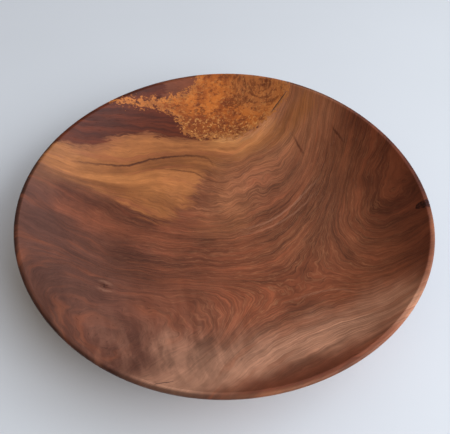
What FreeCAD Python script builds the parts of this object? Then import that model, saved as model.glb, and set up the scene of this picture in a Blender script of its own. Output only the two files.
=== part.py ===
import FreeCAD, Part
import math
import os
import Sketcher

# A lathe-turned wooden offering plate: one round plate of figured wood with a wide shallow bowl, a thin
# rounded lip and a low foot. A felt disc is glued in the recess under the foot. Two dead knots and the filled
# drying checks are solids of their own in the wood.
# Millimetres. The origin is on the plate's axis, on the table that the felt stands on, with +Z up.

SIZES = {
    "rim_diameter": 330.0,
    "rim_height": 52.0,
    "lip_width": 4.0,
    "lip_side_height": 2.6,
    "lip_outer_round": 1.6,
    "lip_inner_round": 1.4,
    "lip_under_round": 1.5,
    "bowl_floor_radius": 95.0,
    "bowl_floor_dish": 8.0,
    "floor_thickness": 7.0,
    "wall_thickness": 6.6,
    "foot_diameter": 116.0,
    "foot_height": 5.0,
    "foot_edge_round": 1.2,
    "foot_cove_round": 3.0,
    "foot_ring_width": 10.0,
    "recess_depth": 2.4,
    "felt_thickness": 3.0,
    "felt_clearance": 0.5,
    "bowl_cut_margin": 6.0,
    "rim_knot_bearing": 0.4,
    "rim_knot_drop": 1.0,
    "rim_knot_radius": 4.4,
    "rim_knot_length": 26.0,
    "pin_knot_bearing": 214.0,
    "pin_knot_from_rim": 54.0,
    "pin_knot_radius": 2.1,
    "pin_knot_depth": 4.2,
    "pin_knot_overcut": 4.0,
    "check_width": 0.6,
    "check_depth": 3.0,
    "far_check_bearing": 70.0,
    "far_check_from_rim": 18.8,
    "far_check_length": 21.0,
    "far_check_turn": -21.4,
    "near_check_bearing": 256.4,
    "near_check_from_rim": 7.0,
    "near_check_length": 13.0,
    "near_check_turn": -43.0,
}

FOOT_UNDERSIDE = "(sizes.felt_thickness - sizes.recess_depth)"
FLOOR_TOP = "(sizes.felt_thickness + sizes.floor_thickness)"
FLOOR_END_SLOPE = "2 * atan(sizes.bowl_floor_dish / sizes.bowl_floor_radius)"
START = 1
END = 2
CENTRE = 3
ORIGIN_POINT = (-1, 1)
VERTICAL_AXIS = -2
TOUCHING = 0.01
VOLUME_SLACK = 2e-5

doc = FreeCAD.newDocument("offering_plate")
sheet = doc.addObject("Spreadsheet::Sheet", "sizes")
for row, (alias, value) in enumerate(SIZES.items(), start=1):
    sheet.set("A%d" % row, alias)
    sheet.set("B%d" % row, str(value))
    sheet.setAlias("B%d" % row, alias)
doc.recompute()


def size(alias):
    """The sheet's value for a named size."""
    return float(sheet.get(alias))


def flat(across, up):
    """A point of a section: its distance from the plate's axis and its height."""
    return FreeCAD.Vector(across, up, 0)


def tangent_arc(start, slope, end):
    """Centre and radius of the arc that leaves start at a slope (radians) and reaches end."""
    to_centre = flat(-math.sin(slope), math.cos(slope))
    chord = end - start
    radius = chord.dot(chord) / (2 * chord.dot(to_centre))
    return start + to_centre * radius, radius


def arc_curve(start, slope, end):
    """The same arc as a sketch curve, drawn from start to end."""
    centre, radius = tangent_arc(start, slope, end)
    spoke = end - centre
    circle = Part.Circle(centre, FreeCAD.Vector(0, 0, 1), radius)
    return Part.ArcOfCircle(circle, slope - math.pi / 2, math.atan2(spoke.y, spoke.x))


def section_points():
    """The joints of the bowl's inner curve and of the outside, worked out from the sheet."""
    underside = size("felt_thickness") - size("recess_depth")
    floor_top = size("felt_thickness") + size("floor_thickness")
    slope = 2 * math.atan(size("bowl_floor_dish") / size("bowl_floor_radius"))
    floor_end = flat(size("bowl_floor_radius"), floor_top + size("bowl_floor_dish"))
    inward = flat(math.sin(slope), -math.cos(slope)) * size("wall_thickness")
    rim = size("rim_diameter") / 2
    foot = size("foot_diameter") / 2
    return {
        "slope": slope,
        "floor_centre": flat(0, floor_top),
        "floor_end": floor_end,
        "lip_inner": flat(rim - size("lip_width"), size("rim_height")),
        "lip_outer": flat(rim, size("rim_height")),
        "lip_under": flat(rim, size("rim_height") - size("lip_side_height")),
        "belly": floor_end + inward,
        "foot_top": flat(foot, underside + size("foot_height")),
        "foot_edge": flat(foot, underside),
        "foot_centre": flat(0, underside),
        "top_centre": flat(0, size("rim_height")),
    }


POINTS = section_points()
FLOOR_CENTRE, FLOOR_RADIUS = tangent_arc(POINTS["floor_centre"], 0, POINTS["floor_end"])
WALL_CENTRE, WALL_RADIUS = tangent_arc(POINTS["floor_end"], POINTS["slope"], POINTS["lip_inner"])


def origin_plane(body, role):
    """One of the body's own origin planes, found by its role."""
    return [part for part in body.Origin.OriginFeatures if part.Role == role][0]


def new_sketch(body, name, role):
    """A sketch of the body on one of its own origin planes."""
    sketch = body.newObject("Sketcher::SketchObject", name)
    sketch.AttachmentSupport = [(origin_plane(body, role), "")]
    sketch.MapMode = "FlatFace"
    return sketch


def drive(sketch, kind, piece, vertex, rule):
    """Bind the distance of a vertex from the sketch's origin to the sheet."""
    place = sketch.getPoint(piece, vertex)
    value = place.x if kind == "DistanceX" else place.y
    index = sketch.addConstraint(Sketcher.Constraint(kind, *ORIGIN_POINT, piece, vertex, value))
    sketch.setExpression("Constraints[%d]" % index, rule)


def close_profile(sketch, curves, smooth_joints=()):
    """Draw curves head to tail round a closed section. A smooth joint is tangent as well as joined."""
    sketch.addGeometry(curves, False)
    for piece in range(len(curves)):
        following = (piece + 1) % len(curves)
        kind = "Tangent" if piece in smooth_joints else "Coincident"
        sketch.addConstraint(Sketcher.Constraint(kind, piece, END, following, START))


def pin_starts(sketch, rules):
    """Hold where each curve starts. A rule of None across means a place on the plate's axis."""
    for piece, (across, up) in enumerate(rules):
        if across is None:
            sketch.addConstraint(Sketcher.Constraint("PointOnObject", piece, START, VERTICAL_AXIS))
        else:
            drive(sketch, "DistanceX", piece, START, across)
        drive(sketch, "DistanceY", piece, START, up)


def line(first, second):
    """A straight sketch line between two named joints of the section."""
    return Part.LineSegment(POINTS[first], POINTS[second])


def turned_outside(body):
    """The outside of the plate, turned as one solid up to the level of the lip."""
    sketch = new_sketch(body, "OutsideSection", "XZ_Plane")
    belly = POINTS["belly"]
    rise = belly - POINTS["foot_top"]
    curves = [
        line("foot_centre", "foot_edge"),
        line("foot_edge", "foot_top"),
        line("foot_top", "belly"),
        arc_curve(belly, math.atan2(rise.y, rise.x), POINTS["lip_under"]),
        line("lip_under", "lip_outer"),
        line("lip_outer", "top_centre"),
        line("top_centre", "foot_centre"),
    ]
    close_profile(sketch, curves, smooth_joints=(2,))
    foot = "sizes.foot_diameter / 2"
    rim = "sizes.rim_diameter / 2"
    belly_across = "sizes.bowl_floor_radius + sizes.wall_thickness * sin(%s)" % FLOOR_END_SLOPE
    belly_up = "%s + sizes.bowl_floor_dish - sizes.wall_thickness * cos(%s)" % (FLOOR_TOP, FLOOR_END_SLOPE)
    pin_starts(sketch, [
        (None, FOOT_UNDERSIDE),
        (foot, FOOT_UNDERSIDE),
        (foot, FOOT_UNDERSIDE + " + sizes.foot_height"),
        (belly_across, belly_up),
        (rim, "sizes.rim_height - sizes.lip_side_height"),
        (rim, "sizes.rim_height"),
        (None, "sizes.rim_height"),
    ])
    outside = body.newObject("PartDesign::Revolution", "TurnedOutside")
    outside.Profile = sketch
    outside.ReferenceAxis = (sketch, ["V_Axis"])
    outside.Angle = 360
    doc.recompute()
    return outside


def turned_bowl(body):
    """The bowl, turned out of the top: a shallow dished floor that runs smoothly into the wall."""
    sketch = new_sketch(body, "BowlSection", "XZ_Plane")
    above = flat(0, size("bowl_cut_margin"))
    lip = POINTS["lip_inner"]
    curves = [
        arc_curve(POINTS["floor_centre"], 0, POINTS["floor_end"]),
        arc_curve(POINTS["floor_end"], POINTS["slope"], lip),
        Part.LineSegment(lip, lip + above),
        Part.LineSegment(lip + above, POINTS["top_centre"] + above),
        Part.LineSegment(POINTS["top_centre"] + above, POINTS["floor_centre"]),
    ]
    close_profile(sketch, curves, smooth_joints=(0,))
    sketch.addConstraint(Sketcher.Constraint("PointOnObject", 0, CENTRE, VERTICAL_AXIS))
    lip_across = "sizes.rim_diameter / 2 - sizes.lip_width"
    pin_starts(sketch, [
        (None, FLOOR_TOP),
        ("sizes.bowl_floor_radius", FLOOR_TOP + " + sizes.bowl_floor_dish"),
        (lip_across, "sizes.rim_height"),
        (lip_across, "sizes.rim_height + sizes.bowl_cut_margin"),
        (None, "sizes.rim_height + sizes.bowl_cut_margin"),
    ])
    bowl = body.newObject("PartDesign::Groove", "TurnedBowl")
    bowl.Profile = sketch
    bowl.ReferenceAxis = (sketch, ["V_Axis"])
    bowl.Angle = 360
    doc.recompute()
    return bowl


def foot_recess(body):
    """The round recess under the foot that the felt disc is glued into."""
    sketch = new_sketch(body, "RecessCircle", "XY_Plane")
    radius = size("foot_diameter") / 2 - size("foot_ring_width")
    sketch.addGeometry(Part.Circle(flat(0, 0), FreeCAD.Vector(0, 0, 1), radius), False)
    sketch.addConstraint(Sketcher.Constraint("Coincident", 0, CENTRE, *ORIGIN_POINT))
    index = sketch.addConstraint(Sketcher.Constraint("Radius", 0, radius))
    sketch.setExpression("Constraints[%d]" % index, "sizes.foot_diameter / 2 - sizes.foot_ring_width")
    sketch.setExpression(".AttachmentOffset.Base.z", FOOT_UNDERSIDE)
    recess = body.newObject("PartDesign::Pocket", "FootRecess")
    recess.Profile = sketch
    recess.Type = "Length"
    recess.Reversed = True
    recess.setExpression("Length", "sizes.recess_depth")
    doc.recompute()
    return recess


def circle_edges(shape, radius, height):
    """Names of the shape's level circular edges of a radius at a height."""
    names = []
    for number, edge in enumerate(shape.Edges, start=1):
        if edge.Degenerated or not isinstance(edge.Curve, Part.Circle):
            continue
        ring = edge.Curve
        if abs(ring.Radius - radius) < TOUCHING and abs(ring.Center.z - height) < TOUCHING:
            names.append("Edge%d" % number)
    return names


def round_edge(body, name, place, radius_alias):
    """Round the circular edge that passes through a joint of the section."""
    base = body.Tip
    edges = circle_edges(base.Shape, place.x, place.y)
    if not edges:
        raise RuntimeError("no edge to round for " + name)
    rounded = body.newObject("PartDesign::Fillet", name)
    rounded.Base = (base, edges)
    rounded.setExpression("Radius", "sizes." + radius_alias)
    doc.recompute()
    return rounded


def make_turned_wood():
    """The whole plate as the lathe leaves it, knots and checks still part of the wood."""
    body = doc.addObject("PartDesign::Body", "TurnedWood")
    body.Label = "turned_wood"
    solid = turned_outside(body).Shape.Volume
    hollowed = turned_bowl(body).Shape.Volume
    recessed = foot_recess(body).Shape.Volume
    if not solid > hollowed > recessed:
        raise RuntimeError("a turned cut removed nothing")
    round_edge(body, "LipOuterRound", POINTS["lip_outer"], "lip_outer_round")
    round_edge(body, "LipInnerRound", POINTS["lip_inner"], "lip_inner_round")
    round_edge(body, "LipUnderRound", POINTS["lip_under"], "lip_under_round")
    round_edge(body, "FootEdgeRound", POINTS["foot_edge"], "foot_edge_round")
    round_edge(body, "FootCove", POINTS["foot_top"], "foot_cove_round")
    return body


def around(bearing, across, up):
    """The point of the plate at a bearing (degrees), a distance from the axis and a height."""
    angle = math.radians(bearing)
    return FreeCAD.Vector(across * math.cos(angle), across * math.sin(angle), up)


def bowl_place(bearing, from_rim):
    """A point of the bowl's surface and the direction straight into the wood there."""
    across = size("rim_diameter") / 2 - from_rim
    on_floor = across < POINTS["floor_end"].x
    centre = FLOOR_CENTRE if on_floor else WALL_CENTRE
    radius = FLOOR_RADIUS if on_floor else WALL_RADIUS
    drop = math.sqrt(radius ** 2 - (across - centre.x) ** 2)
    place = around(bearing, across, centre.y - drop)
    return place, (place - around(bearing, centre.x, centre.y)).normalize()


def add_rod(name, start, direction, radius_rule, length_rule):
    """A round rod whose axis starts at a point and runs in a direction."""
    rod = doc.addObject("Part::Cylinder", name)
    rod.setExpression("Radius", radius_rule)
    rod.setExpression("Height", length_rule)
    rod.Placement = FreeCAD.Placement(start, FreeCAD.Rotation(FreeCAD.Vector(0, 0, 1), direction))
    return rod


def rim_knot_rod():
    """The dead knot that crosses the lip, level, from inside the bowl to the outside."""
    bearing = size("rim_knot_bearing")
    level = size("rim_height") - size("rim_knot_drop")
    middle = around(bearing, size("rim_diameter") / 2 - size("lip_width"), level)
    direction = around(bearing, 1, 0)
    start = middle - direction * (size("rim_knot_length") / 2)
    return add_rod("RimKnotRod", start, direction, "sizes.rim_knot_radius", "sizes.rim_knot_length")


def pin_knot_rod():
    """The pin knot that runs square into the wood and ends inside it."""
    place, direction = bowl_place(size("pin_knot_bearing"), size("pin_knot_from_rim"))
    start = place - direction * size("pin_knot_overcut")
    length_rule = "sizes.pin_knot_depth + sizes.pin_knot_overcut"
    return add_rod("PinKnotRod", start, direction, "sizes.pin_knot_radius", length_rule)


def check_disc(prefix, name):
    """A thin disc that dips into the wall: what it cuts is a check that tapers away at both ends."""
    place, into_wood = bowl_place(size(prefix + "_bearing"), size(prefix + "_from_rim"))
    tangent = around(size(prefix + "_bearing") + 90, 1, 0)
    uphill = into_wood.cross(tangent)
    turn = math.radians(size(prefix + "_turn"))
    along = uphill * math.cos(turn) + tangent * math.sin(turn)
    half = size(prefix + "_length") / 2
    depth = size("check_depth")
    radius = (half ** 2 + depth ** 2) / (2 * depth)
    square = along.cross(into_wood)
    start = place - into_wood * (radius - depth) - square * (size("check_width") / 2)
    half_rule = "(sizes.%s_length / 2)" % prefix
    radius_rule = "(%s ^ 2 + sizes.check_depth ^ 2) / (2 * sizes.check_depth)" % half_rule
    return add_rod(name, start, square, radius_rule, "sizes.check_width")


def shared_with(wood, tool, name):
    """The part of a tool that lies in the wood."""
    piece = doc.addObject("Part::Common", name)
    piece.Base = wood
    piece.Tool = tool
    return piece


def make_felt():
    """The felt disc in the foot's recess, a little proud of the wood."""
    felt = doc.addObject("Part::Cylinder", "FeltDisc")
    felt.setExpression("Radius", "sizes.foot_diameter / 2 - sizes.foot_ring_width - sizes.felt_clearance")
    felt.setExpression("Height", "sizes.felt_thickness")
    return felt


def make_plate():
    """Every sub-part by the name of its node."""
    wood = make_turned_wood()
    rim_rod = rim_knot_rod()
    pin_rod = pin_knot_rod()
    discs = [check_disc("far_check", "FarCheckDisc"), check_disc("near_check", "NearCheckDisc")]
    doc.recompute()
    plate = doc.addObject("Part::Cut", "PlateBody")
    cutters = doc.addObject("Part::Compound", "KnotsAndChecks")
    cutters.Links = [rim_rod, pin_rod] + discs
    plate.Base = wood
    plate.Tool = cutters
    fills = doc.addObject("Part::Compound", "CheckFill")
    fills.Links = [shared_with(wood, disc, disc.Name + "InWood") for disc in discs]
    parts = {
        "plate_body": plate,
        "rim_knot": shared_with(wood, rim_rod, "RimKnot"),
        "pin_knot": shared_with(wood, pin_rod, "PinKnot"),
        "check_fill": fills,
        "foot_felt": make_felt(),
    }
    for name, part in parts.items():
        part.Label = name
    doc.recompute()
    in_wood = sum(part.Shape.Volume for name, part in parts.items() if name != "foot_felt")
    print("unaccounted wood %.2f mm3" % (wood.Shape.Volume - in_wood))
    if abs(in_wood - wood.Shape.Volume) > VOLUME_SLACK * wood.Shape.Volume:
        raise RuntimeError("the plate, knots and fills do not add up to the turned wood")
    return parts


def write_parts(parts):
    """Check the document, then write one STEP file for each sub-part."""
    for item in doc.Objects:
        if "Invalid" in item.State or "Error" in item.State:
            raise RuntimeError("%s did not rebuild: %s" % (item.Name, item.State))
    for name, part in parts.items():
        if part.Shape.isNull() or not part.Shape.isValid() or not part.Shape.Solids:
            raise RuntimeError(name + " has no valid solid")
    os.makedirs("parts", exist_ok=True)
    for name, part in parts.items():
        part.Shape.exportStep("parts/%s.step" % name)
        print("%-12s solids %d volume %.2f mm3" % (name, len(part.Shape.Solids), part.Shape.Volume))


write_parts(make_plate())
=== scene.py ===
import math

import bpy
import numpy as np
from mathutils import Matrix, Vector


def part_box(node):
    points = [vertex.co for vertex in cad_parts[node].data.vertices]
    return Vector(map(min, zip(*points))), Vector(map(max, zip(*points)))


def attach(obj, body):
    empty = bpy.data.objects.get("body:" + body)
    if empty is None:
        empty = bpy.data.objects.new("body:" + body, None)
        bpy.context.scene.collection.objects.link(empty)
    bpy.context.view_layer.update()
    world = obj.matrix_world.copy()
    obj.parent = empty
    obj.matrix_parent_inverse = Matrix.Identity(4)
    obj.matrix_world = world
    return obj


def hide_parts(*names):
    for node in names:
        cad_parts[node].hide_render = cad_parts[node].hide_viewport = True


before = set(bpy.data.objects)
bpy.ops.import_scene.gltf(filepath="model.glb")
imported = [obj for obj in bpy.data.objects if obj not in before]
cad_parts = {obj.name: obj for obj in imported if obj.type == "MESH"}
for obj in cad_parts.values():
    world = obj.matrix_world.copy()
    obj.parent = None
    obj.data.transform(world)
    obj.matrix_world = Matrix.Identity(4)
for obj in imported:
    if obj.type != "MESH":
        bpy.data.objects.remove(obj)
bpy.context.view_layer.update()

# A turned wooden offering plate of figured red-brown wood. The plate's section and everything on it is worked
# out in millimetres, with the origin on the plate's axis at the table, and made in metres at the end.
MM = 0.001

# ---------------------------------------------------------------------------------------------------------
# The turned section
# ---------------------------------------------------------------------------------------------------------
BODY_LOW, BODY_HIGH = [np.array(corner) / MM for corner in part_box("plate_body")]
FELT_LOW, FELT_HIGH = [np.array(corner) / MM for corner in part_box("foot_felt")]
RIM_RADIUS = BODY_HIGH[0]
RIM_HEIGHT = BODY_HIGH[2]
FOOT_UNDERSIDE = BODY_LOW[2]
FELT_RADIUS = FELT_HIGH[0]
FELT_TOP = FELT_HIGH[2]
LIP_WIDTH = 4.0
LIP_SIDE = 2.6
FLOOR_TOP = 10.0
FLOOR_RADIUS = 95.0
FLOOR_DISH = 8.0
WALL_THICKNESS = 6.6
FOOT_RADIUS = 58.0
FOOT_HEIGHT = 5.0
FOOT_RING = 10.0
LIP_INNER_ROUND = 1.4
LIP_OUTER_ROUND = 1.6
LIP_UNDER_ROUND = 1.5
FOOT_COVE = 3.0
FOOT_EDGE_ROUND = 1.2
INSIDE_STEP = 1.9
OUTSIDE_STEP = 3.0
ROUND_STEPS = 6
BEARINGS = 480
POLE_RADIUS = 0.9

# The rim as it moved in drying: for each count of lobes, their height (mm) and one crest's bearing (degrees).
RIM_LOBES = {3: (0.6, 80), 4: (0.8, -10)}


def tangent_arc(start, slope, end, step):
    """Points of the arc that leaves start at a slope (radians) and ends at end."""
    start, end = np.array(start, float), np.array(end, float)
    to_centre = np.array([-math.sin(slope), math.cos(slope)])
    chord = end - start
    radius = chord @ chord / (2 * chord @ to_centre)
    centre = start + to_centre * radius
    spoke = end - centre
    first = slope - math.pi / 2
    last = math.atan2(spoke[1], spoke[0])
    steps = max(2, int(abs(last - first) * radius / step))
    angles = np.linspace(first, last, steps + 1)
    return centre + radius * np.column_stack([np.cos(angles), np.sin(angles)])


def straight(start, end, step):
    """Evenly spaced points of a straight run."""
    start, end = np.array(start, float), np.array(end, float)
    steps = max(1, int(np.hypot(*(end - start)) / step))
    return start + np.linspace(0, 1, steps + 1)[:, None] * (end - start)


def trimmed(run, length):
    """A run shortened by a length at its end."""
    reach = np.hypot(*(run - run[-1]).T)
    kept = run[reach > length * 1.15]
    toward = (kept[-1] - run[-1]) / np.hypot(*(kept[-1] - run[-1]))
    return np.vstack([kept, run[-1] + toward * length])


def rounded_join(runs, radii):
    """One section from runs that meet at corners, each corner rounded to its radius."""
    runs = [np.array(run) for run in runs]
    arcs = []
    for index, radius in enumerate(radii):
        corner = runs[index][-1]
        if radius == 0:
            arcs.append(corner[None])
            continue
        before = (corner - runs[index][-2]) / np.hypot(*(corner - runs[index][-2]))
        after = (runs[index + 1][1] - corner) / np.hypot(*(runs[index + 1][1] - corner))
        turn = math.acos(np.clip(before @ after, -1, 1))
        cut = radius * math.tan(turn / 2)
        runs[index] = trimmed(runs[index], cut)
        runs[index + 1] = trimmed(runs[index + 1][::-1], cut)[::-1]
        weight = math.cos(turn / 2)
        t = np.linspace(0, 1, ROUND_STEPS + 1)[1:-1, None]
        start, end = runs[index][-1], runs[index + 1][0]
        top = start * (1 - t) ** 2 + corner * (2 * t * (1 - t) * weight) + end * t ** 2
        arcs.append(top / ((1 - t) ** 2 + 2 * t * (1 - t) * weight + t ** 2))
    parts = [runs[0]]
    for arc, run in zip(arcs, runs[1:]):
        parts.append(arc)
        parts.append(run)
    joined = np.vstack(parts)
    gaps = np.hypot(*np.diff(joined, axis=0).T)
    return joined[np.concatenate([[True], gaps > 0.02])]


def plate_section():
    """The closed section of the wood from the middle of the bowl, over the lip, to the recess's middle."""
    slope = 2 * math.atan(FLOOR_DISH / FLOOR_RADIUS)
    floor_end = np.array([FLOOR_RADIUS, FLOOR_TOP + FLOOR_DISH])
    lip_inner = [RIM_RADIUS - LIP_WIDTH, RIM_HEIGHT]
    lip_outer = [RIM_RADIUS, RIM_HEIGHT]
    lip_under = [RIM_RADIUS, RIM_HEIGHT - LIP_SIDE]
    belly = floor_end + WALL_THICKNESS * np.array([math.sin(slope), -math.cos(slope)])
    foot_top = np.array([FOOT_RADIUS, FOOT_UNDERSIDE + FOOT_HEIGHT])
    foot_edge = [FOOT_RADIUS, FOOT_UNDERSIDE]
    recess_edge = [FOOT_RADIUS - FOOT_RING, FOOT_UNDERSIDE]
    recess_top = [FOOT_RADIUS - FOOT_RING, FELT_TOP]
    rise = belly - foot_top
    floor = tangent_arc([0, FLOOR_TOP], 0, floor_end, INSIDE_STEP)
    wall = tangent_arc(floor_end, slope, lip_inner, INSIDE_STEP)
    floor[0, 0] = POLE_RADIUS
    outside = tangent_arc(belly, math.atan2(rise[1], rise[0]), lip_under, OUTSIDE_STEP)[::-1]
    under = straight(belly, foot_top, OUTSIDE_STEP)
    runs = [
        np.vstack([floor, wall[1:]]),
        straight(lip_inner, lip_outer, LIP_WIDTH / 4),
        straight(lip_outer, lip_under, LIP_SIDE / 2),
        np.vstack([outside, under[1:]]),
        straight(foot_top, foot_edge, FOOT_HEIGHT / 4),
        straight(foot_edge, recess_edge, FOOT_RING / 4),
        straight(recess_edge, recess_top, FOOT_HEIGHT / 4),
        straight(recess_top, [POLE_RADIUS, FELT_TOP], 2 * OUTSIDE_STEP),
    ]
    rounds = [LIP_INNER_ROUND, LIP_OUTER_ROUND, LIP_UNDER_ROUND, FOOT_COVE, FOOT_EDGE_ROUND, 0, 0]
    return rounded_join(runs, rounds)


SECTION = plate_section()
SECTION_LENGTH = np.concatenate([[0], np.cumsum(np.hypot(*np.diff(SECTION, axis=0).T))])
LIP_TOP = int(np.argmax(SECTION[:, 1]))


def rim_shift(bearing, across):
    """How far the wood has moved outwards at a bearing (radians): nothing at the foot, most at the rim."""
    wave = sum(height * np.cos(count * (bearing - math.radians(crest)))
               for count, (height, crest) in RIM_LOBES.items())
    share = np.clip((across - FOOT_RADIUS) / (RIM_RADIUS - FOOT_RADIUS), 0, 1)
    return wave * share * share * (3 - 2 * share)


def surface_point(bearing, length):
    """The place of the wood's surface at a bearing (radians) and a length along the section."""
    across = np.interp(length, SECTION_LENGTH, SECTION[:, 0])
    up = np.interp(length, SECTION_LENGTH, SECTION[:, 1])
    across = across + rim_shift(bearing, across)
    return np.stack([across * np.cos(bearing), across * np.sin(bearing), up], axis=-1)


def surface_normal(bearing, length):
    """The direction out of the wood at the same place."""
    small = 0.2
    along = surface_point(bearing, length + small) - surface_point(bearing, length - small)
    round_ = surface_point(bearing + 0.002, length) - surface_point(bearing - 0.002, length)
    normal = np.cross(round_, along)
    normal = -normal / np.linalg.norm(normal, axis=-1, keepdims=True)
    return normal


# ---------------------------------------------------------------------------------------------------------
# Where the CAD has the knots and checks
# ---------------------------------------------------------------------------------------------------------
PLACE_STEPS = 6000


def node_points(node):
    """The points of a CAD node in millimetres."""
    return np.array([vertex.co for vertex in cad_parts[node].data.vertices]) / MM


def far_ends(points):
    """The two ends of a long thin piece."""
    offsets = points - points.mean(0)
    along = offsets @ np.linalg.svd(offsets, full_matrices=False)[2][0]
    return points[along.argmin()], points[along.argmax()]


def bowl_place(point):
    """The bearing, and the length along the section, where the inside of the bowl is nearest to a point."""
    lengths = np.linspace(0, SECTION_LENGTH[LIP_TOP], PLACE_STEPS)
    across = np.interp(lengths, SECTION_LENGTH, SECTION[:, 0])
    up = np.interp(lengths, SECTION_LENGTH, SECTION[:, 1])
    nearest = np.hypot(across - math.hypot(point[0], point[1]), up - point[2]).argmin()
    return math.atan2(point[1], point[0]), float(lengths[nearest])


CHECK_POINTS = node_points("check_fill")
CHECK_ENDS = {
    "far_check_fill": far_ends(CHECK_POINTS[CHECK_POINTS[:, 1] > 0]),
    "near_check_fill": far_ends(CHECK_POINTS[CHECK_POINTS[:, 1] < 0]),
}
RIM_KNOT_LOW, RIM_KNOT_HIGH = [np.array(corner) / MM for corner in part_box("rim_knot")]
PIN_KNOT_MIDDLE = sum(np.array(corner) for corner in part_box("pin_knot")) / 2 / MM


def by_pin_knot(offsets):
    """Places round the pin knot, from their offsets seen from above."""
    return [(PIN_KNOT_MIDDLE[0] + x, PIN_KNOT_MIDDLE[1] + y) for x, y in offsets]


# ---------------------------------------------------------------------------------------------------------
# The figure of the wood, seen from above, in millimetres: +x to the right, +y to the far side
# ---------------------------------------------------------------------------------------------------------
# Growth lines, each with its place in the order that the tree laid the wood down (about mm apart).
GROWTH_LINES = [
    (118, [(-122, 106), (-92, 119), (-55, 129), (-22, 131), (4, 138), (20, 158)]),
    (98, [(-142, 84), (-112, 94), (-80, 103), (-42, 105), (-2, 108), (24, 118), (40, 135), (50, 156)]),
    (76, [(-164, 56), (-130, 62), (-100, 67), (-70, 78), (-40, 86), (-14, 84), (6, 80), (26, 92), (46, 108),
          (58, 128), (66, 150)]),
    (56, [(-160, 44), (-120, 49), (-90, 55), (-60, 65), (-30, 67), (-5, 59), (10, 63), (26, 73), (42, 77),
          (56, 90), (69, 110), (77, 142)]),
    (22, [(-162, 36), (-125, 36), (-95, 30), (-70, 19), (-40, 11), (-15, 8), (5, 12), (25, 22), (45, 33),
          (60, 47), (73, 67), (82, 95), (88, 132)]),
    (0, [(-165, 20), (-140, 14), (-110, 5), (-80, -2), (-50, -6), (-20, -8), (10, -5), (30, 2), (48, 14),
         (63, 33), (79, 61), (90, 91), (98, 128)]),
    (-20, [(-165, -2), (-140, -5), (-110, -14), (-85, -21), (-55, -24), (-25, -26), (5, -27), (30, -23),
           (50, -8), (67, 12), (83, 39), (95, 70), (105, 118)]),
    (-38, [(-163, -24), (-130, -26), (-95, -39), (-60, -43), (-30, -43), (0, -43), (30, -41), (52, -31),
           (68, -10), (82, 12), (95, 45), (105, 80), (113, 112)]),
    (-60, [(122, 105), (112, 78), (102, 45), (93, 15), (93, -10), (101, -28), (118, -39), (140, -40),
           (160, -34)]),
    (-76, [(134, 96), (123, 72), (113, 40), (109, 12), (113, -8), (126, -18), (144, -18), (162, -12)]),
    (-88, [(144, 84), (134, 60), (125, 34), (122, 14), (130, 4), (146, 4), (163, 10)]),
    (-98, [(152, 66), (145, 46), (139, 28), (142, 20), (162, 30)]),
    (-62, [(-122, -110), (-142, -85), (-150, -60), (-135, -44), (-100, -51), (-60, -57), (-20, -57), (5, -63),
           (12, -78), (4, -100), (-15, -125), (-36, -150)]),
    (-76, [(-104, -128), (-124, -104), (-132, -78), (-118, -64), (-80, -68), (-44, -70), (-22, -80),
           (-20, -98), (-34, -120), (-60, -152)]),
    (-86, [(-92, -134), (-106, -114), (-112, -94), (-98, -84), (-70, -88), (-54, -100), (-62, -124),
           (-80, -146)]),
    (-44, [(-22, -160), (0, -122), (18, -96), (40, -82), (62, -70), (82, -62), (105, -64), (130, -60),
           (156, -50)]),
    (-24, [(-8, -164), (15, -130), (40, -107), (70, -92), (100, -85), (130, -78), (150, -68)]),
    (-2, [(12, -164), (38, -138), (64, -119), (92, -106), (120, -98), (140, -88)]),
    (20, [(48, -158), (78, -138), (105, -123), (128, -108)]),
]
LINE_STEP = 9.0
LINE_EASE = 0.004
FIGURE_UNIT = 100.0

# Colours of the oiled wood (sRGB, 0 to 255).
BASE_WOOD = (118, 62, 39)
TINTS = {
    "deep_brown": (86, 42, 26),
    # grey-brown of the left walls: partly the wood's colour, partly painted sheen standing in for the satin
    # sheen there
    "left_brown_and_sheen": (96, 58, 46),
    "deep_red": (112, 54, 36),
    "golden": (188, 122, 68),
    "straw": (214, 158, 94),
    "pink_tan": (168, 108, 76),
    "streak_tan": (194, 140, 112),
    "red_orange": (156, 84, 54),
    "olive_brown": (124, 74, 48),
    # dark red of the right wall: partly the wood's colour, partly painted shade where the wall faces away
    # from the light
    "right_red_and_shade": (92, 42, 27),
}
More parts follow.
